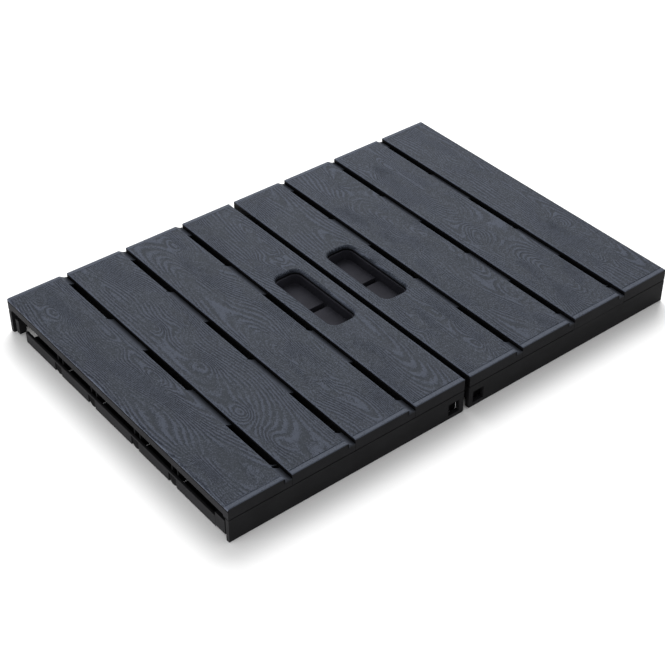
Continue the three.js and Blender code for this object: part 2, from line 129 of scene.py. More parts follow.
class DeckSettings(bpy.types.PropertyGroup):
    """Shape of the planks' embossed tops."""

    edge_radius: length_setting("Edge radius", "Rounding of a plank's top edges", 0.9 * MM)
    outer_radius: length_setting("Outer radius", "Rounding of the board's outer long edges", 2.4 * MM)
    shoulder: length_setting("Shoulder", "Width of the slope from a plank's top to a tongue", 3.0 * MM)
    cap_depth: length_setting("Cap depth", "Thickness of the embossed top layer", 3.9 * MM)
    end_border: length_setting("End border", "Plain strip across each end of a plank", 5.4 * MM)
    shadow_groove: length_setting("Shadow groove", "Depth of the groove under the outer edges", 0.8 * MM)
    line_width: length_setting("Line width", "Width of the engraved line inside the border", 0.9 * MM)
    line_depth: length_setting("Line depth", "Depth of the engraved line", 0.45 * MM)
    ring_pitch: length_setting("Ring pitch", "Distance between growth rings seen square on", 2.6 * MM)
    relief: length_setting("Relief", "Depth of the broad waves under the grain", 0.05 * MM)
    rim_radius: length_setting("Grip rim radius", "Rounding of the rim of a hand grip", 3.0 * MM)


class FrameSettings(bpy.types.PropertyGroup):
    """Softening of the moulded frame's edges."""

    rail_edge: length_setting("Rail edge", "Rounding of the rails' edges", 0.6 * MM)
    skirt_foot: length_setting("Skirt foot", "Rounding of the end rails' edges on the floor", 1.8 * MM)
    skirt_joint: length_setting("Skirt joint", "Rounding of the end rails' edges under the deck", 0.8 * MM)
    rib_edge: length_setting("Rib edge", "Rounding of the ribs' and feet's edges", 0.4 * MM)
    cup_edge: length_setting("Cup edge", "Rounding of the hand-grip cup's edges", 0.8 * MM)
    hinge_edge: length_setting("Hinge edge", "Rounding of the hinge parts' edges", 0.4 * MM)


class FinishSettings(bpy.types.PropertyGroup):
    """Colours of the finishes, as linear light."""

    deck_light: colour_setting("Deck, raised", "Slate grey of the raised grain", (0.046, 0.052, 0.070))
    deck_dark: colour_setting("Deck, sunk", "Slate grey in the grain's hollows", (0.0050, 0.0060, 0.0095))
    # the planks' sides: the same plastic as the tops, coloured far darker as painted shade
    deck_side_painted_shade: colour_setting("Deck, sides", "Grey of the planks' smooth sides", (0.0055, 0.0055, 0.0066))
    frame: colour_setting("Frame", "Grey of the rails", (0.0058, 0.0058, 0.0066))
    # near black for the ribs and for faces in gaps, cups and sockets: painted shade
    inside: colour_setting("Inside", "Black of the ribs and of hidden faces", (0.0035, 0.0035, 0.0038))
    grip: colour_setting("Grip cup", "Grey of the hand-grip cups", (0.0240, 0.0240, 0.0310))


class StageSettings(bpy.types.PropertyGroup):
    """Camera, light and floor."""

    azimuth: angle_setting("Azimuth", "Direction of the camera round the board", -38.711)
    elevation: angle_setting("Elevation", "Height of the camera above the horizon", 38.545)
    distance: length_setting("Distance", "Camera to the point it looks at", 1.6565)
    lens: bpy.props.FloatProperty(
        name="Lens", description="Focal length in millimetres on a 36 mm sensor", default=81.39)
    target: bpy.props.FloatVectorProperty(
        name="Target", description="Point on the floor that the camera looks at", subtype="TRANSLATION",
        size=3, default=(-0.0272, -0.0198, 0.001))
    floor_grey: bpy.props.FloatProperty(
        name="Floor grey", description="Reflectance of the floor", default=0.92, min=0.0, max=1.0)
    ambient: bpy.props.FloatProperty(
        name="Ambient", description="Strength of the white light from all sides", default=0.68, min=0.0)


# ------------------------------------------------------------------ shader expressions
class Wire:
    """A shader socket that takes part in Python arithmetic: each operator adds a Math node."""

    def __init__(self, tree, socket):
        self.tree = tree
        self.socket = socket

    @classmethod
    def node(cls, tree, kind, settings=None, inputs=None, output=0):
        """Any node: its settings are set first, then its sockets get values or links."""
        made = tree.nodes.new(kind)
        for name, value in (settings or {}).items():
            setattr(made, name, value)
        for key, value in (inputs or {}).items():
            if isinstance(value, Wire):
                tree.links.new(value.socket, made.inputs[key])
            else:
                made.inputs[key].default_value = value
        return cls(tree, made.outputs[output])

    def math(self, operation, *operands):
        return Wire.node(self.tree, "ShaderNodeMath", {"operation": operation}, dict(enumerate(operands)))

    def __add__(self, other):
        return self.math("ADD", self, other)

    def __radd__(self, other):
        return self.math("ADD", other, self)

    def __sub__(self, other):
        return self.math("SUBTRACT", self, other)

    def __rsub__(self, other):
        return self.math("SUBTRACT", other, self)

    def __mul__(self, other):
        return self.math("MULTIPLY", self, other)

    def __rmul__(self, other):
        return self.math("MULTIPLY", other, self)

    def sine(self):
        return self.math("SINE", self)

    def band(self, low, high):
        """0 below low, 1 above high, smooth between."""
        return Wire.node(self.tree, "ShaderNodeMapRange", {"interpolation_type": "SMOOTHSTEP"},
                         {"Value": self, "From Min": low, "From Max": high})

    def blend(self, dark, light):
        """A colour between two others, by this wire as the factor."""
        return Wire.node(self.tree, "ShaderNodeMix", {"data_type": "RGBA"},
                         {0: self, 6: as_colour(dark), 7: as_colour(light)}, output=2)


def as_colour(value):
    return value if isinstance(value, Wire) else (*value[:3], 1.0)


def attribute(tree, name):
    """A value stored on the mesh's vertices."""
    return Wire.node(tree, "ShaderNodeAttribute", {"attribute_name": name}, output="Fac")


def noise(tree, stretch, detail=2.0, roughness=0.5):
    """Noise with its own scale along each axis, in cycles per metre."""
    place = Wire.node(tree, "ShaderNodeTexCoord", output="Object")
    scaled = Wire.node(tree, "ShaderNodeVectorMath", {"operation": "MULTIPLY"}, {0: place, 1: stretch})
    return Wire.node(tree, "ShaderNodeTexNoise", {},
                     {"Vector": scaled, "Scale": 1.0, "Detail": detail, "Roughness": roughness})


def bump(tree, height, distance, strength=1.0):
    return Wire.node(tree, "ShaderNodeBump", {},
                     {"Height": height, "Distance": distance, "Strength": strength})


def new_material(name):
    """A node material, its tree and its shader."""
    material = bpy.data.materials.new(name)
    material.use_nodes = True
    tree = material.node_tree
    surface = tree.nodes["Principled BSDF"]
    return material, tree, surface


def wire_up(tree, surface, constants, wires):
    """Gives the shader's sockets their values and links."""
    for name, value in constants.items():
        surface.inputs[name].default_value = value
    for name, wire in wires.items():
        tree.links.new(wire.socket, surface.inputs[name])


# ------------------------------------------------------------------ finishes
# painted shade for the grooves between the planks
GROOVE_PAINTED_SHADE = (0.004, 0.004, 0.005)        # low down on the tongues
SKY_TINT = (0.72, 0.84, 1.0, 1.0)           # the deck's highlights are a little blue


def embossed_plastic(colours):
    """Slate plastic pressed with wood grain: rings from the plank's own ring field, pores and mottling, and
    painted shade low down on the tongues.
    """
    material, tree, surface = new_material("embossed_plastic")
    ring = attribute(tree, "ring")
    grain = attribute(tree, "grain")
    # sunk drives the painted shade in the grooves
    sunk = attribute(tree, "sunk")
    pores = noise(tree, (420.0, 170.0, 200.0), detail=3.0)
    grit = noise(tree, (850.0, 850.0, 850.0), detail=2.0)
    mottle = noise(tree, (40.0, 22.0, 40.0), detail=3.0)
    patches = noise(tree, (60.0, 26.0, 60.0), detail=2.0).band(0.40, 0.58)
    rings = (ring * math.tau + pores * 3.0).sine() * 0.5 + 0.5
    pressed = grain * rings * (patches * 0.7 + 0.3)
    height = pressed * 0.9 + grain * pores * 0.5 + grit * 0.35
    pressed_tone = 1.08 - 0.4 * pores + 0.2 * patches
    tone = 0.95 - grain * pressed_tone + pressed * 1.20 + (mottle - 0.5) * 0.4 + (grit - 0.5) * 3.6
    colour = tone.band(-0.1, 1.1).blend(colours.deck_dark, colours.deck_light)
    wires = {
        # painted shade: the colour goes to near black low down on the tongues
        "Base Color": sunk.blend(colour, GROOVE_PAINTED_SHADE),
        "Roughness": 0.52 + 0.12 * pressed + 0.12 * grit,
        "Normal": bump(tree, height, 0.50 * MM),
    }
    wire_up(tree, surface, {"Specular IOR Level": 0.22, "Specular Tint": SKY_TINT}, wires)
    return material


def moulded_plastic(name, colour, rough, specular):
    """Dark plastic with the fine even texture of an etched mould and a few faint scuffs."""
    material, tree, surface = new_material(name)
    grit = noise(tree, (1900.0, 1900.0, 1900.0), detail=2.0)
    flow = noise(tree, (35.0, 35.0, 60.0), detail=3.0)
    scuffs = noise(tree, (90.0, 420.0, 700.0), detail=4.0, roughness=0.65).band(0.62, 0.78)
    light = [min(1.0, part * 1.75 + 0.002) for part in colour]
    dark = [part * 0.72 for part in colour]
    wires = {
        "Base Color": (flow * 0.7 + grit * 0.2 + scuffs * 0.35).band(0.1, 1.1).blend(dark, light),
        "Roughness": rough + 0.12 * grit - 0.10 * scuffs,
        "Normal": bump(tree, grit * 0.7 + flow * 0.3, 0.12 * MM, 0.6),
    }
    wire_up(tree, surface, {"Specular IOR Level": specular}, wires)
    return material


def black_rubber():
    """Matt rubber with a little dust on it."""
    material, tree, surface = new_material("black_rubber")
    grit = noise(tree, (2600.0, 2600.0, 2600.0), detail=3.0)
    dust = noise(tree, (160.0, 160.0, 160.0), detail=4.0, roughness=0.6).band(0.5, 0.8)
    wires = {
        "Base Color": dust.blend((0.003, 0.003, 0.0032), (0.007, 0.007, 0.0075)),
        "Roughness": 0.78 + 0.16 * grit,
        "Normal": bump(tree, grit, 0.1 * MM, 0.7),
    }
    wire_up(tree, surface, {"Specular IOR Level": 0.05}, wires)
    return material


def turned_steel(name, dark, light):
    """Steel with turning marks and dulled patches."""
    material, tree, surface = new_material(name)
    patches = noise(tree, (420.0, 420.0, 420.0), detail=4.0, roughness=0.6)
    marks = noise(tree, (300.0, 4200.0, 300.0), detail=2.0)
    wires = {
        "Base Color": patches.band(0.3, 0.7).blend(dark, light),
        "Roughness": 0.26 + 0.22 * patches + 0.10 * marks,
        "Normal": bump(tree, marks, 0.04 * MM, 0.5),
    }
    wire_up(tree, surface, {"Metallic": 1.0}, wires)
    return material


FINISHES = {}


def finish(name):
    """The finish of that name, made the first time it is asked for."""
    if name not in FINISHES:
        colours = bpy.context.scene.board_finish
        FINISHES[name] = {
            "deck_top": lambda: embossed_plastic(colours),
            # painted shade: the planks' sides far darker than their tops
            "deck_side_painted_shade": lambda: moulded_plastic("painted_shade_deck_plastic", colours.deck_side_painted_shade, 0.58, 0.11),
            "frame": lambda: moulded_plastic("frame_plastic", colours.frame, 0.60, 0.11),
            "grip": lambda: moulded_plastic("grip_plastic", colours.grip, 0.60, 0.06),
            # painted shade: filled nylon made near black so the hinge sockets read black
            "link": lambda: moulded_plastic("shade_dark_nylon", (0.004, 0.004, 0.0045), 0.55, 0.08),
            "rubber": black_rubber,
            # painted shade: near black for faces that lie in shade
            "inside": lambda: moulded_plastic("painted_shade_plastic", colours.inside, 0.62, 0.06),
            # painted shade: steel so dark that its reflections are gone, so the pins read black in their
            # sockets
            "pin": lambda: turned_steel("shade_black_steel", (0.0010, 0.0010, 0.0011), (0.003, 0.003, 0.0032)),
            "steel": lambda: turned_steel("plated_steel", (0.30, 0.30, 0.32), (0.52, 0.52, 0.55)),
        }[name]()
    return FINISHES[name]


# ------------------------------------------------------------------ mesh helpers
def add_object(name, mesh, finishes):
    """A new object with one material slot for each finish."""
    piece = bpy.data.objects.new(name, mesh)
    bpy.context.scene.collection.objects.link(piece)
    mesh.materials.clear()
    for key in finishes:
        mesh.materials.append(finish(key))
    return piece


def seat(piece, node):
    """The piece stands for a CAD node, which is hidden, and rides on its body."""
    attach(piece, frame["nodes"][node]["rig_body"])
    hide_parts(node)
    return piece


def apply_modifier(piece, kind, **settings):
    """Adds a modifier and makes its result the piece's mesh."""
    modifier = piece.modifiers.new(kind.lower(), kind)
    for name, value in settings.items():
        setattr(modifier, name, value)
    evaluated = piece.evaluated_get(bpy.context.evaluated_depsgraph_get())
    mesh = bpy.data.meshes.new_from_object(evaluated)
    old = piece.data
    piece.modifiers.clear()
    piece.data = mesh
    bpy.data.meshes.remove(old)


def shade(piece, sharp_degrees):
    """Smooth shading with weighted normals, where edges sharper than the angle stay hard."""
    work = bmesh.new()
    work.from_mesh(piece.data)
    limit = math.radians(sharp_degrees)
    for face in work.faces:
        face.smooth = True
    for edge in work.edges:
        edge.smooth = edge.calc_face_angle(0.0) < limit
    work.to_mesh(piece.data)
    work.free()
    apply_modifier(piece, "WEIGHTED_NORMAL", keep_sharp=True)


def welded(node):
    """A CAD node's mesh with its triangles joined at their corners."""
    work = bmesh.new()
    work.from_mesh(frame["nodes"][node].data)
    bmesh.ops.remove_doubles(work, verts=work.verts, dist=WELD)
    return work


def flatten(work):
    """Merges triangles that lie in one plane."""
    bmesh.ops.dissolve_limit(work, angle_limit=FLAT, verts=work.verts, edges=work.edges)


def to_mesh(work, name):
    mesh = bpy.data.meshes.new(name)
    work.to_mesh(mesh)
    work.free()
    return mesh


def hard_edges(work):
    """Edges sharp enough to be rounded."""
    return [edge for edge in work.edges if edge.calc_face_angle(0.0) > HARD]


def round_off(work, edges, width, segments, **finish_of_faces):
    """Rounds the edges, whose new faces may take a material slot of their own."""
    bmesh.ops.bevel(work, geom=edges, offset=width, segments=segments, profile=0.5, affect="EDGES",
                    clamp_overlap=True, **finish_of_faces)


def softened(node, name, key, width, segments=2, shaded=None, foot=0.0, joint=0.0):
    """A CAD node with its hard edges rounded, those on the floor by foot and those round its top by joint.

    Faces that the given test picks, and the rounding of the top, take the inner finish, a near black that
    paints shade on them.
    """
    work = welded(node)
    flatten(work)
    for face in work.faces:
        face.material_index = 1 if shaded and shaded(face) else 0
    if foot:
        near_floor = 0.3 * MM
        sole = [edge for edge in hard_edges(work) if all(v.co.z < near_floor for v in edge.verts)]
        round_off(work, sole, foot, segments=4)
    if joint:
        top = max(v.co.z for v in work.verts) - 0.1 * MM
        rim = [edge for edge in hard_edges(work) if all(v.co.z > top for v in edge.verts)]
        # the rounding under the deck takes the near-black inner finish: painted shade
        round_off(work, rim, joint, segments, material=1)
    round_off(work, hard_edges(work), width, segments)
    piece = add_object(name, to_mesh(work, name), [key, "inside"] if shaded or joint else [key])
    shade(piece, sharp_degrees=50.0)
    return piece


def behind_skirt(face):
    """Faces of an end rail other than its front, its foot and its outer end; they take the near-black inner
    finish as painted shade.
    """
    skirt_front, outer_end, seam_end = 0.6 * MM, 2.5 * MM, 6 * MM
    centre = face.calc_center_median()
    depth = CAD_BOX[1][1] - abs(centre.y)
    side = CAD_BOX[1][0] - abs(centre.x)
    level = abs(face.normal.z) > 0.9
    return depth > skirt_front and side > outer_end and abs(centre.x) > seam_end and not level


def cup_wall(face):
    """Faces of a hand-grip cup other than the floor, its rim and the ledge; they take the near-black inner
    finish as painted shade.
    """
    return face.normal.z < 0.5


def rounded_loop(width, length, radius, corner_steps=8):
    """Points of a rounded rectangle about the origin, anticlockwise."""
    points = []
    corners = ((1, 1, 0), (-1, 1, 1), (-1, -1, 2), (1, -1, 3))
    for side_x, side_y, quarter in corners:
        for step in range(corner_steps + 1):
            angle = (quarter + step / corner_steps) * math.pi / 2
            points.append((side_x * (width / 2 - radius) + radius * math.cos(angle),
                           side_y * (length / 2 - radius) + radius * math.sin(angle)))
    return points


def loft(loops):
    """A closed solid through equal loops of points, capped at both ends."""
    count = len(loops[0])
    points = [point for loop in loops for point in loop]
    faces = [tuple(reversed(range(count)))]
    for level in range(len(loops) - 1):
        low, high = level * count, (level + 1) * count
        for i in range(count):
            j = (i + 1) % count
            faces.append((low + i, low + j, high + j, high + i))
    last = (len(loops) - 1) * count
    faces.append(tuple(range(last, last + count)))
    return points, faces


# ------------------------------------------------------------------ wood grain
class GrainField:
    """Growth rings over one plank, as a smooth field whose whole numbers are the ring lines.

    The plank is cut from a round log whose heart wanders below the surface. Swirls bend the rings and
    knots push them aside. Lengths are in metres, and the swirls' rates in radians per metre.
    """

    SWIRLS = 14
    SWIRL_REACH = 0.023             # the swirls' sizes added up
    KNOTS = 5
    KNOT_LIFT = 0.009

    def __init__(self, number, centre, half_length, pitch):
        draw = np.random.default_rng(100 + number)
        self.centre = centre
        self.pitch = pitch
        self.heart_shift = draw.uniform(-0.024, 0.024)
        self.heart_turn = draw.uniform(-0.03, 0.03)
        self.heart_depth = draw.uniform(0.005, 0.012)
        self.heart_slope = draw.choice([-1, 1]) * draw.uniform(0.05, 0.11)
        self.along = draw.uniform(-38.0, 38.0, self.SWIRLS)
        self.across = draw.uniform(-120.0, 120.0, self.SWIRLS)
        self.phase = draw.uniform(0.0, math.tau, self.SWIRLS)
        self.size = draw.uniform(0.3, 1.0, self.SWIRLS)
        self.size *= self.SWIRL_REACH / self.size.sum()
        self.knots = [
            (draw.uniform(-0.024, 0.024), draw.uniform(-0.85, 0.85) * half_length,
             draw.uniform(0.006, 0.011), draw.uniform(0.012, 0.026),
             draw.choice([-1, 1]) * self.KNOT_LIFT)
            for _ in range(self.KNOTS)
        ]

    def __call__(self, x, y):
        u = x - self.centre
        heart = self.heart_shift + self.heart_turn * y
        depth = self.heart_depth + self.heart_slope * y
        field = np.sqrt((u - heart) ** 2 + depth ** 2 + 1e-6)
        for k, j, shift, size in zip(self.along, self.across, self.phase, self.size):
            field = field + size * np.sin(k * y + j * u + shift)
        for knot_x, knot_y, wide, long, lift in self.knots:
            field = field + lift * np.exp(-((u - knot_x) / wide) ** 2 - ((y - knot_y) / long) ** 2)
        return field / self.pitch


# ------------------------------------------------------------------ planks
def right_edge(node):
    """Where a plank's flat top ends on the right, before its tongues."""
    return max(v.co.x for v in frame["nodes"][node].data.vertices if v.co.z > DECK_TOP - NEAR)


def tongue_spans(node):
    """Stretches along a plank's length that carry tongues, read from the edges at the CAD tongues' tips."""
    mesh = frame["nodes"][node].data
    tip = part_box(node)[1].x
    runs = []
    for edge in mesh.edges:
        ends = [mesh.vertices[i].co for i in edge.vertices]
        if all(abs(p.z - TONGUE_TOP) < NEAR and abs(p.x - tip) < NEAR for p in ends):
            runs.append(sorted(p.y for p in ends))
    spans = []
    for start, end in sorted(runs):
        if spans and start < spans[-1][1] + 0.01 * MM:
            spans[-1][1] = max(spans[-1][1], end)
        else:
            spans.append([start, end])
    return spans


def rounding_steps(radius, steps=5):
    """Distances from an edge at which a rounding of that radius gets a line of vertices."""
    return [radius * (1 - math.sin(math.pi / 2 * (1 - i / (steps - 1)))) for i in range(steps)]


def rounding_drop(distance, radius):
    """How far a rounded edge lies below the flat at each distance from the edge."""
    inside = np.clip(radius - distance, 0.0, radius)
    return radius - np.sqrt(np.maximum(radius ** 2 - inside ** 2, 0.0))


def grid_lines(low, high, step, from_low, from_high):
    """Coordinates from low to high with extra lines at given distances from each end."""
    smallest = 0.04 * MM
    fixed = sorted([low + d for d in from_low] + [high - d for d in from_high])
    lines = [low]
    for stop in fixed + [high]:
        gap = stop - lines[-1]
        if gap < smallest:
            continue
        pieces = max(1, round(gap / step)) if gap > 1.6 * step else 1
        start = lines[-1]
        lines += [start + gap * (i + 1) / pieces for i in range(pieces)]
    return np.array(lines)


def engraved(distance, border, settings):
    """Depth of the engraved line at each distance from the edge."""
    across = np.abs(distance - border) / (settings.line_width / 2)
    return settings.line_depth * np.clip(1.0 - across ** 2, 0.0, 1.0)


class PlankTop:
    """The embossed top layer of one plank as a height over its outline."""

    CELL = (1.3 * MM, 1.9 * MM)     # size of the grid's cells across and along the plank
    LINE_STOPS = (-0.9, -0.6, -0.35, -0.1, 0.1, 0.35, 0.6, 0.9, 1.4)    # in widths of the engraved line
    WANDER = ((0.35 * MM, 41.0), (0.2 * MM, 97.0))      # of the engraved line: size, radians per metre
    GROOVE_HEIGHT = 1.1 * MM        # of the shadow groove

    def __init__(self, number, settings):
        node = PLANKS[number - 1]
        self.settings = settings
        self.low, self.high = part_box(node)
        self.has_tongues = number % PLANKS_PER_LEAF != 0
        self.outer = -1 if number == 1 else 1 if number == len(PLANKS) else 0
        self.right = right_edge(node)
        self.tongues = tongue_spans(node) if self.has_tongues else []
        self.spans = [span for span in self.tongues if span[1] - span[0] > 3 * MM]
        self.centre = (self.low.x + self.right) / 2
        self.rings = GrainField(number, self.centre, self.high.y, settings.ring_pitch)
        self.left_radius = settings.outer_radius if self.outer < 0 else settings.edge_radius
        self.right_radius = settings.outer_radius if self.outer > 0 else settings.edge_radius

    def edges(self, x, y):
        """Distances to the left, right, front and back edges."""
        return x - self.low.x, self.right - x, y - self.low.y, self.high.y - y

    def grain(self, x, y):
        """1 where the grain is pressed in, 0 on the plain border."""
        s = self.settings
        left, right, front, back = self.edges(x, y)
        soft, overlap = 0.5 * MM, 0.2 * MM
        ends = np.minimum(front, back) - s.end_border - s.line_width / 2
        left_inset = 0.0 if self.outer < 0 else s.edge_radius
        right_inset = 0.0 if self.outer > 0 else s.edge_radius
        sides = np.minimum(left - left_inset, right - right_inset) + overlap
        return np.clip(ends / soft, 0.0, 1.0) * np.clip(sides / soft, 0.0, 1.0)

    def height(self, x, y):
        """Height of the embossed surface above the floor."""
        s = self.settings
        left, right, front, back = self.edges(x, y)
        slope = SHOULDER_DROP * (np.clip(s.shoulder - right, 0.0, s.shoulder) / s.shoulder) ** 2
        right_drop = rounding_drop(right, self.right_radius)
        for start, end in self.spans:
            right_drop = np.where((y >= start) & (y <= end), slope, right_drop)
        drop = np.maximum(rounding_drop(left, self.left_radius), right_drop)
        drop = np.maximum(drop, rounding_drop(np.minimum(front, back), s.edge_radius))
        wander = sum(size * np.sin(x * rate) for size, rate in self.WANDER)
        line = engraved(np.minimum(front, back) + wander, s.end_border, s)
        wave = np.sin(self.rings(x, y) * math.tau / 3.0)
        relief = s.relief * self.grain(x, y) * (0.5 - 0.5 * wave)
        return DECK_TOP - drop - line - relief

    def mesh(self):
        """A closed solid: embossed surface, plain sides with a groove on the outer one, flat underside."""
        s = self.settings
        from_left = rounding_steps(self.left_radius)
        from_right = rounding_steps(self.right_radius)
        if self.has_tongues:
            from_right += [s.shoulder * k / 6 for k in range(1, 7)]
        from_end = rounding_steps(s.edge_radius)
        from_end += [s.end_border + s.line_width * k for k in self.LINE_STOPS]
        cuts = [end - self.low.y + shift for span in self.spans for end in span for shift in (-NEAR, NEAR)
                if self.low.y + MM < end < self.high.y - MM]
        xs = grid_lines(self.low.x, self.right, self.CELL[0], from_left, from_right)
        ys = grid_lines(self.low.y, self.high.y, self.CELL[1], from_end + cuts, from_end)
        grid_x, grid_y = np.meshgrid(xs, ys, indexing="ij")
        bottom = DECK_TOP - s.cap_depth
        walls = [(bottom, 0.0)]
        if self.outer:
            inward = -self.outer * s.shadow_groove
            groove_top = bottom + self.GROOVE_HEIGHT
            walls = [(groove_top, 0.0), (groove_top, inward), (bottom, inward)]
        outer_x = self.low.x if self.outer < 0 else self.right
        return closed_sheet(grid_x, grid_y, self.height(grid_x, grid_y), walls, outer_x)


def closed_sheet(grid_x, grid_y, grid_z, walls, outer_x):
    """Points and faces of a solid with a height field on top; the top faces come first.

    Each wall level is a height and a shift in x of the side at outer_x. The last level is the flat underside.
    """
    rows, columns = grid_x.shape
    points = np.stack([grid_x, grid_y, grid_z], -1).reshape(-1, 3).tolist()
    index = np.arange(rows * columns).reshape(rows, columns)
    same = 0.01 * MM
    faces = [(index[i, j], index[i + 1, j], index[i + 1, j + 1], index[i, j + 1])
             for i in range(rows - 1) for j in range(columns - 1)]
    top_count = len(faces)
    outline = [*index[:, 0], *index[-1, 1:], *index[-2::-1, -1], *index[0, -2:0:-1]]
    count = len(outline)
    above = outline
    for level, shift in walls:
        below = list(range(len(points), len(points) + count))
        for i in outline:
            x, y, _ = points[i]
            points.append([x + shift if abs(x - outer_x) < same else x, y, level])
        for i in range(count):
            j = (i + 1) % count
            faces.append((below[i], below[j], above[j], above[i]))
        above = below
    faces.append(tuple(reversed(above)))
    return points, [tuple(int(i) for i in face) for face in faces], top_count


def grip_cutter(centre, settings):
    """A solid with a hand grip's outline that flares out at the deck, to cut the rounded rim."""
    low, high = grip_mouth(centre)
    width, length = high[0] - low[0], high[1] - low[1]
    radius = 10.0 * MM
    rim = settings.rim_radius
    # each level is how far the outline has grown, and its height
    levels = [(0.0, DECK_TOP - settings.cap_depth - MM), (0.0, DECK_TOP - rim)]
    for degrees in (75, 60, 45, 30, 15):
        turn = math.radians(degrees)
        levels.append((rim * (1 - math.sin(turn)), DECK_TOP - rim * (1 - math.cos(turn))))
    levels.append((levels[-1][0], DECK_TOP + 2 * MM))
    loops = [[(centre + x, y, z) for x, y in rounded_loop(width + 2 * grow, length + 2 * grow, radius + grow)]
             for grow, z in levels]
    return loft(loops)


def grip_mouth(centre):
    """Low and high corners of the opening over a grip cup: the cup's inside and its ledge."""
    name = "left" if centre < 0 else "right"
    low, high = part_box(f"grip_cup_{name}")
    inset = 3.5 * MM
    return (low.x + inset, low.y + inset), (high.x - inset, high.y - inset)


def lowered_body(node, settings):
    """The CAD plank below its embossed top.

    Its deck and the tops of its tongues are brought down to meet the pieces that cover them.
    """
    foot_radius, side_depth = 0.9 * MM, 0.4 * MM
    # the inner slot is near black: painted shade on faces under the deck
    side, inside = 1, 2             # the plank's material slots
    work = welded(node)
    for vertex in work.verts:
        if vertex.co.z > DECK_TOP - 0.1 * MM:
            vertex.co.z = DECK_TOP - settings.cap_depth
        elif abs(vertex.co.z - TONGUE_TOP) < NEAR:
            vertex.co.z = TONGUE_COVER_BOTTOM
    flatten(work)
    low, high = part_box(node)
    lowest = min(v.co.z for v in work.verts)

    def outside(point):
        """Whether the point lies on the plank's outline seen from above."""
        return min(abs(point.x - low.x), abs(point.y - low.y),
                   abs(point.y - high.y), abs(point.x - high.x)) < NEAR

    foot = [edge for edge in work.edges
            if all(abs(v.co.z - lowest) < NEAR and outside(v.co) for v in edge.verts)
            and edge.calc_face_angle(0.0) > 1.0]
    for face in work.faces:
        face.material_index = side
    # painted shade: the foot's rounding and the faces away from the outline take the near-black inner finish
    round_off(work, foot, foot_radius, segments=3, material=inside)
    work.normal_update()
    for face in work.faces:
        centre = face.calc_center_median()
        depth = min(centre.y - low.y, high.y - centre.y, abs(abs(centre.x) - CAD_BOX[1][0]))
        if depth > side_depth:
            face.material_index = inside
    return work


def tongue_section():
    """Section of a tongue as distances from the plank's edge and depths below the deck.

    It carries on the slope of the plank's shoulder, levels out at the CAD tongue's top and ends in a lip.
    """
    slope, level_at, depth = 0.72, 7.9 * MM, 5.0 * MM
    root, root_depth = -1.2 * MM, 1.6 * MM
    bottom = DECK_TOP - TONGUE_COVER_BOTTOM
    section = [(root, bottom), (root, root_depth)]
    for step in range(11):
        t = step / 10
        start = (2 * t ** 3 - 3 * t ** 2 + 1) * SHOULDER_DROP + (t ** 3 - 2 * t ** 2 + t) * slope * level_at
        section.append((t * level_at, start + (3 * t ** 2 - 2 * t ** 3) * depth))
    return section + [(8.2 * MM, 5.1 * MM), (TONGUE_REACH, 5.4 * MM), (TONGUE_REACH, bottom)]


def tongue_covers(top):
    """Points and faces of the curved upper side of each tongue of a plank."""
    points, faces = [], []
    for start, end in top.tongues:
        loops = [[(top.right + u, y, DECK_TOP - v) for u, v in tongue_section()] for y in (start, end)]
        made, made_faces = loft(loops)
        offset = len(points)
        points += made
        faces += [tuple(offset + i for i in face) for face in made_faces]
    return points, faces


def mesh_from(points, faces, name):
    """A mesh of those faces, all turned to point outwards."""
    mesh = bpy.data.meshes.new(name)
    mesh.from_pydata(points, [], faces)
    mesh.update()
    work = bmesh.new()
    work.from_mesh(mesh)
    bmesh.ops.recalc_face_normals(work, faces=work.faces)
    work.to_mesh(mesh)
    work.free()
    return mesh


def write_grain(piece, top):
    """Stores what the deck's material needs on the finished mesh.

    ring is the ring field, grain the mask of the pressed area, and sunk how deep a point of a tongue lies,
    which the material turns into painted shade.
    """
    mask_low, mask_fade = 2.9 * MM, 0.3 * MM
    groove_shade_from, groove_shade_fade, groove_shade_left = 0.3 * MM, 5.2 * MM, 3 * MM
    mesh = piece.data
    place = np.zeros(len(mesh.vertices) * 3)
    mesh.vertices.foreach_get("co", place)
    x, y, z = place.reshape(-1, 3).T
    on_top = np.clip((z - (DECK_TOP - mask_low)) / mask_fade, 0.0, 1.0)
    # painted shade, stronger the deeper a point of a tongue lies, none near the plank's left edge
    sunk = np.clip((DECK_TOP - groove_shade_from - z) / groove_shade_fade, 0.0, 1.0) * (x - top.low.x > groove_shade_left)
    for name, values in (("ring", top.rings(x, y)), ("grain", top.grain(x, y) * on_top), ("sunk", sunk)):
        layer = mesh.attributes.new(name, "FLOAT", "POINT")
        layer.data.foreach_set("value", values.astype(np.float32))


def cut_away(piece, points, faces, key):
    """Takes the solid with those points and faces out of a piece."""
    cutter = add_object("cutter", mesh_from(points, faces, "cutter"), [key])
    apply_modifier(piece, "BOOLEAN", operation="DIFFERENCE", object=cutter, solver="EXACT")
    bpy.data.objects.remove(cutter)


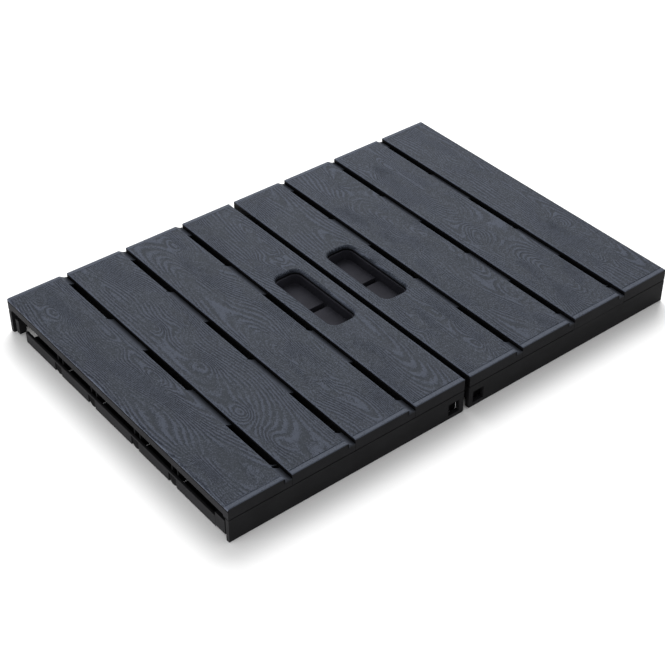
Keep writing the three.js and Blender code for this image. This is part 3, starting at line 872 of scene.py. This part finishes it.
def make_plank(number, settings):
    """The embossed top, the CAD plank's lower part and the covers of its tongues, as one piece."""
    node = PLANKS[number - 1]
    top = PlankTop(number, settings)
    points, faces, top_count = top.mesh()
    mesh = mesh_from(points, faces, node)
    # painted shade: the sides take the dark side finish, the inner faces near black
    cap = add_object(f"deck_{node}", mesh, ["deck_top", "deck_side_painted_shade", "inside"])
    side_index = np.zeros(len(mesh.polygons), np.int32)
    side_index[top_count:] = 1
    mesh.polygons.foreach_set("material_index", side_index)
    if number in GRIP_PLANKS:
        cut_away(cap, *grip_cutter(top.centre, settings), "deck_top")
    work = bmesh.new()
    work.from_mesh(cap.data)
    extras = [to_mesh(lowered_body(node, settings), "body")]
    if top.tongues:
        extras.append(mesh_from(*tongue_covers(top), "tongues"))
    for mesh in extras:
        work.from_mesh(mesh)
        bpy.data.meshes.remove(mesh)
    work.to_mesh(cap.data)
    work.free()
    shade(cap, sharp_degrees=38.0)
    write_grain(cap, top)
    return seat(cap, node)


# ------------------------------------------------------------------ screws
# Sizes here are in millimetres.
HEAD_RADIUS = 3.5
HEAD_THICKNESS = 2.2
HEAD_ROUNDING = 1.3
SHANK_RADIUS = 1.6
THREAD_PITCH = 1.1
THREAD_START = 1.2                  # above the head's seat
THREAD_ROOT = SHANK_RADIUS - 0.35
THREAD_CREST = SHANK_RADIUS + 0.25
RECESS_LEVELS = ((-0.5, 0.62, 2.1), (1.3, 0.36, 1.0))   # height, half width, half length of the cross


def screw_profile(length):
    """Radii and heights of a pan-head screw standing head down, its seat at 0."""
    profile = [(0.0, -HEAD_THICKNESS)]
    for step in range(1, 6):
        angle = step / 5 * math.pi / 2
        profile.append((HEAD_RADIUS - HEAD_ROUNDING + HEAD_ROUNDING * math.sin(angle),
                        -HEAD_THICKNESS + HEAD_ROUNDING * (1 - math.cos(angle))))
    profile += [(HEAD_RADIUS, -0.15), (HEAD_RADIUS - 0.15, 0.0), (SHANK_RADIUS, 0.0)]
    z = THREAD_START
    while z < length - THREAD_PITCH:
        profile += [(THREAD_ROOT, z), (THREAD_CREST, z + THREAD_PITCH / 2)]
        z += THREAD_PITCH
    return profile + [(SHANK_RADIUS - 0.5, length - 0.6), (0.0, length)]


def turned_mesh(profile, name, steps=20):
    """A solid of revolution about Z whose profile starts and ends on the axis."""
    points, faces, rings = [], [], []
    for radius, height in profile:
        count = steps if radius else 1
        rings.append(list(range(len(points), len(points) + count)))
        angles = [i * math.tau / steps for i in range(count)]
        points += [(radius * MM * math.cos(a), radius * MM * math.sin(a), height * MM) for a in angles]
    for low, high in zip(rings, rings[1:]):
        for i in range(steps):
            j = (i + 1) % steps
            if len(low) == 1:
                faces.append((low[0], high[j], high[i]))
            elif len(high) == 1:
                faces.append((low[i], low[j], high[0]))
            else:
                faces.append((low[i], low[j], high[j], high[i]))
    return mesh_from(points, faces, name)


def recess_bars():
    """The two tapered bars of a cross recess."""
    corners = ((1, 1), (-1, 1), (-1, -1), (1, -1))
    for turn in (0.0, math.pi / 2):
        across, along = math.cos(turn), math.sin(turn)
        yield loft([
            [((wide * x * across - long * y * along) * MM, (wide * x * along + long * y * across) * MM,
              (z - HEAD_THICKNESS) * MM) for x, y in corners]
            for z, wide, long in RECESS_LEVELS
        ])


def make_screw(node):
    """A pan-head screw with a cross recess and a rolled thread."""
    low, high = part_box(node)
    profile = screw_profile((high.z - low.z) / MM - HEAD_THICKNESS)
    piece = add_object(f"pan_head_{node}", turned_mesh(profile, "screw"), ["steel"])
    for points, faces in recess_bars():
        cut_away(piece, points, faces, "steel")
    seat_height = low.z + HEAD_THICKNESS * MM
    piece.data.transform(Matrix.Translation(((low.x + high.x) / 2, (low.y + high.y) / 2, seat_height)))
    shade(piece, sharp_degrees=40.0)
    return seat(piece, node)


# ------------------------------------------------------------------ operators
class BOARD_OT_planks(bpy.types.Operator):
    """Make the eight planks: embossed tops, tongues, and the rims of the hand grips"""

    bl_idname = "board.planks"
    bl_label = "Planks"

    def execute(self, context):
        for number in range(1, len(PLANKS) + 1):
            make_plank(number, context.scene.board_deck)
        return {"FINISHED"}


class BOARD_OT_end_rails(bpy.types.Operator):
    """Make the front and back rails of both leaves"""

    bl_idname = "board.end_rails"
    bl_label = "End rails"

    def execute(self, context):
        sizes = context.scene.board_frame
        for leaf in LEAVES:
            for end in ENDS:
                node = f"{end}_rail_{leaf}"
                # faces behind the skirt and the rounding under the deck take painted shade
                piece = softened(node, f"skirt_{node}", "frame", sizes.rail_edge, 3, behind_skirt,
                                 sizes.skirt_foot, sizes.skirt_joint)
                seat(piece, node)
        return {"FINISHED"}


class BOARD_OT_side_rails(bpy.types.Operator):
    """Make the rails along the seam and along the outer sides"""

    bl_idname = "board.side_rails"
    bl_label = "Side rails"

    def execute(self, context):
        width = context.scene.board_frame.rail_edge
        for leaf in LEAVES:
            for node in (f"seam_rail_{leaf}", f"outer_rail_{leaf}"):
                seat(softened(node, f"moulded_{node}", "frame", width), node)
        return {"FINISHED"}


class BOARD_OT_ribs(bpy.types.Operator):
    """Make the round-bottomed ribs across both leaves and the feet at their outer ends"""

    bl_idname = "board.ribs"
    bl_label = "Ribs and feet"

    def execute(self, context):
        width = context.scene.board_frame.rib_edge
        for leaf in LEAVES:
            for number in range(1, 5):
                rib = f"cross_rib_{leaf}_{number}"
                # painted shade: the ribs take the near-black inner finish
                seat(softened(rib, f"moulded_{rib}", "inside", width), rib)
                foot = f"foot_{leaf}_{number}"
                seat(softened(foot, f"rubber_{foot}", "rubber", width, 3), foot)
        return {"FINISHED"}


class BOARD_OT_grip_cups(bpy.types.Operator):
    """Make the cup of each hand grip"""

    bl_idname = "board.grip_cups"
    bl_label = "Hand-grip cups"

    def execute(self, context):
        width = context.scene.board_frame.cup_edge
        for leaf in LEAVES:
            node = f"grip_cup_{leaf}"
            # painted shade: the cup's walls take the near-black inner finish
            seat(softened(node, f"moulded_{node}", "grip", width, 3, cup_wall), node)
        return {"FINISHED"}


class BOARD_OT_hinges(bpy.types.Operator):
    """Make the brackets, links and pins of both hinges"""

    bl_idname = "board.hinges"
    bl_label = "Hinges"

    def execute(self, context):
        width = context.scene.board_frame.hinge_edge
        for end in ENDS:
            link = f"hinge_link_{end}"
            seat(softened(link, f"moulded_{link}", "link", width), link)
            for leaf in LEAVES:
                bracket = f"hinge_bracket_{leaf}_{end}"
                seat(softened(bracket, f"moulded_{bracket}", "link", width), bracket)
                pin = f"hinge_pin_{leaf}_{end}"
                seat(softened(pin, f"turned_{pin}", "pin", width), pin)
        return {"FINISHED"}


class BOARD_OT_screws(bpy.types.Operator):
    """Make the screws that hold the planks on the end rails"""

    bl_idname = "board.screws"
    bl_label = "Screws"

    def execute(self, context):
        for node in sorted(frame["nodes"]):
            if node.startswith("screw_"):
                make_screw(node)
        return {"FINISHED"}


class BOARD_OT_stage(bpy.types.Operator):
    """Set the camera, the soft lights and the pale floor"""

    bl_idname = "board.stage"
    bl_label = "Camera, lights and floor"

    def execute(self, context):
        stage = context.scene.board_stage
        add_camera(stage)
        add_floor(stage)
        add_lights(stage)
        return {"FINISHED"}


def add_camera(stage):
    back = Vector((math.sin(stage.azimuth) * math.cos(stage.elevation),
                   -math.cos(stage.azimuth) * math.cos(stage.elevation),
                   math.sin(stage.elevation)))
    data = bpy.data.cameras.new("camera")
    data.sensor_width = 36.0
    data.lens = stage.lens
    camera = bpy.data.objects.new("camera", data)
    camera.location = Vector(stage.target) + back * stage.distance
    camera.rotation_euler = back.to_track_quat("Z", "Y").to_euler()
    bpy.context.scene.collection.objects.link(camera)
    bpy.context.scene.camera = camera


def add_floor(stage):
    half = 6.0
    grey = stage.floor_grey
    material, tree, surface = new_material("pale_floor")
    wire_up(tree, surface,
            {"Base Color": (grey, grey, grey, 1.0), "Roughness": 0.45, "Specular IOR Level": 0.3}, {})
    corners = [(-half, -half, 0.0), (half, -half, 0.0), (half, half, 0.0), (-half, half, 0.0)]
    mesh = mesh_from(corners, [(0, 1, 2, 3)], "floor")
    floor = bpy.data.objects.new("floor", mesh)
    mesh.materials.append(material)
    bpy.context.scene.collection.objects.link(floor)


def add_area_light(name, place, aim, size, power):
    data = bpy.data.lights.new(name, "AREA")
    data.shape = "RECTANGLE"
    data.size, data.size_y = size
    data.energy = power
    light = bpy.data.objects.new(name, data)
    light.location = place
    light.rotation_euler = (Vector(place) - Vector(aim)).to_track_quat("Z", "Y").to_euler()
    bpy.context.scene.collection.objects.link(light)


def add_lights(stage):
    """White light from all sides, a softbox above and behind, and a low one on the left."""
    scene = bpy.context.scene
    scene.view_settings.view_transform = "Standard"
    world = bpy.data.worlds.new("studio")
    world.use_nodes = True
    sky = world.node_tree.nodes["Background"]
    sky.inputs["Color"].default_value = (1.0, 1.0, 1.0, 1.0)
    sky.inputs["Strength"].default_value = stage.ambient
    scene.world = world
    add_area_light("overhead_softbox",
                   place=(0.80, 1.0, 1.5), aim=(0.0, 0.0, 0.0), size=(1.9, 1.5), power=44.0)
    add_area_light("side_softbox",
                   place=(-2.2, 0.1, 0.18), aim=(0.0, 0.1, 0.02), size=(1.8, 0.3), power=58.0)


class BOARD_PT_pieces(bpy.types.Panel):
    """Lists the operators that make the board"""

    bl_label = "Folding slatted board"
    bl_idname = "BOARD_PT_pieces"
    bl_space_type = "VIEW_3D"
    bl_region_type = "UI"
    bl_category = "Board"

    def draw(self, context):
        for operator in OPERATORS:
            self.layout.operator(operator.bl_idname)


SETTINGS = {
    "board_deck": DeckSettings,
    "board_frame": FrameSettings,
    "board_finish": FinishSettings,
    "board_stage": StageSettings,
}
OPERATORS = (
    BOARD_OT_stage,
    BOARD_OT_planks,
    BOARD_OT_end_rails,
    BOARD_OT_side_rails,
    BOARD_OT_ribs,
    BOARD_OT_grip_cups,
    BOARD_OT_hinges,
    BOARD_OT_screws,
)


def register():
    for group in SETTINGS.values():
        bpy.utils.register_class(group)
    for operator in OPERATORS:
        bpy.utils.register_class(operator)
    bpy.utils.register_class(BOARD_PT_pieces)
    for name, group in SETTINGS.items():
        setattr(bpy.types.Scene, name, bpy.props.PointerProperty(type=group))


def unregister():
    for name in SETTINGS:
        delattr(bpy.types.Scene, name)
    bpy.utils.unregister_class(BOARD_PT_pieces)
    for operator in reversed(OPERATORS):
        bpy.utils.unregister_class(operator)
    for group in reversed(list(SETTINGS.values())):
        bpy.utils.unregister_class(group)


def main():
    register()
    for operator in OPERATORS:
        group, name = operator.bl_idname.split(".")
        getattr(getattr(bpy.ops, group), name)()


if __name__ == "__main__":
    main()
